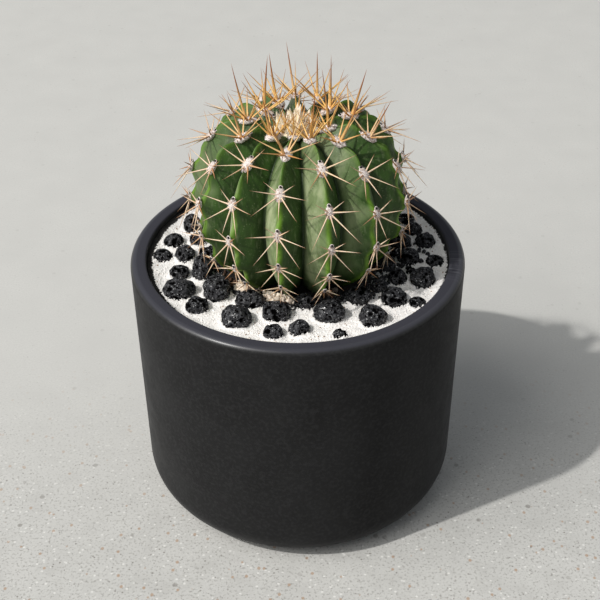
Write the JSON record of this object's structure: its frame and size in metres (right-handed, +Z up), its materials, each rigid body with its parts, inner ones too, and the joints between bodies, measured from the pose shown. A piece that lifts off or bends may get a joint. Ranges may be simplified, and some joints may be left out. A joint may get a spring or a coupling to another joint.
{
  "type": "potted round cactus",
  "caption": "Round ribbed cactus with stiff spines in a plain cylindrical pot, dressed with pale sand and lava pebbles.",
  "frame": {"origin": "middle of the pot's standing ring, on the surface it stands on", "axes": "+Z up along the pot's axis, -Y towards the front that the picture shows, +X to its right"},
  "size_m": [0.16, 0.16, 0.2258],
  "materials": {
    "pot": "satin dark charcoal, faintly mottled",
    "soil": "matt crumbly potting soil",
    "sand": "matt fine pale sand",
    "lava": "rough porous black lava",
    "cactus": "waxy green skin",
    "felt": "matt pale felt of the areoles and crown",
    "spine": "horny cream to amber spines with dark tips",
    "litter": "dry tan flower litter at the stem base"
  },
  "bodies": {
    "root": {"pot": "pot", "soil": "soil", "sand": "sand", "cactus": "cactus", "pebble_01": "lava", "pebble_02": "lava", "pebble_03": "lava", "pebble_04": "lava", "pebble_05": "lava", "pebble_06": "lava", "pebble_07": "lava", "pebble_08": "lava", "pebble_09": "lava", "pebble_10": "lava", "pebble_11": "lava", "pebble_12": "lava", "pebble_13": "lava", "pebble_14": "lava", "pebble_15": "lava", "pebble_16": "lava", "pebble_17": "lava", "pebble_18": "lava", "pebble_19": "lava", "pebble_20": "lava", "pebble_21": "lava", "pebble_22": "lava", "pebble_23": "lava", "pebble_24": "lava", "pebble_25": "lava", "pebble_26": "lava", "pebble_27": "lava", "pebble_28": "lava", "pebble_29": "lava", "pebble_30": "lava", "pebble_31": "lava", "pebble_32": "lava", "pebble_33": "lava", "pebble_34": "lava", "pebble_35": "lava", "pebble_36": "lava", "pebble_37": "lava", "pebble_38": "lava", "pebble_39": "lava", "pebble_40": "lava", "pebble_41": "lava", "pebble_42": "lava", "pebble_43": "lava", "pebble_44": "lava", "pebble_45": "lava", "pebble_46": "lava", "pebble_47": "lava", "pebble_48": "lava", "pebble_49": "lava", "pebble_50": "lava", "pebble_51": "lava", "pebble_52": "lava", "pebble_53": "lava"}
  },
  "joints": []
}
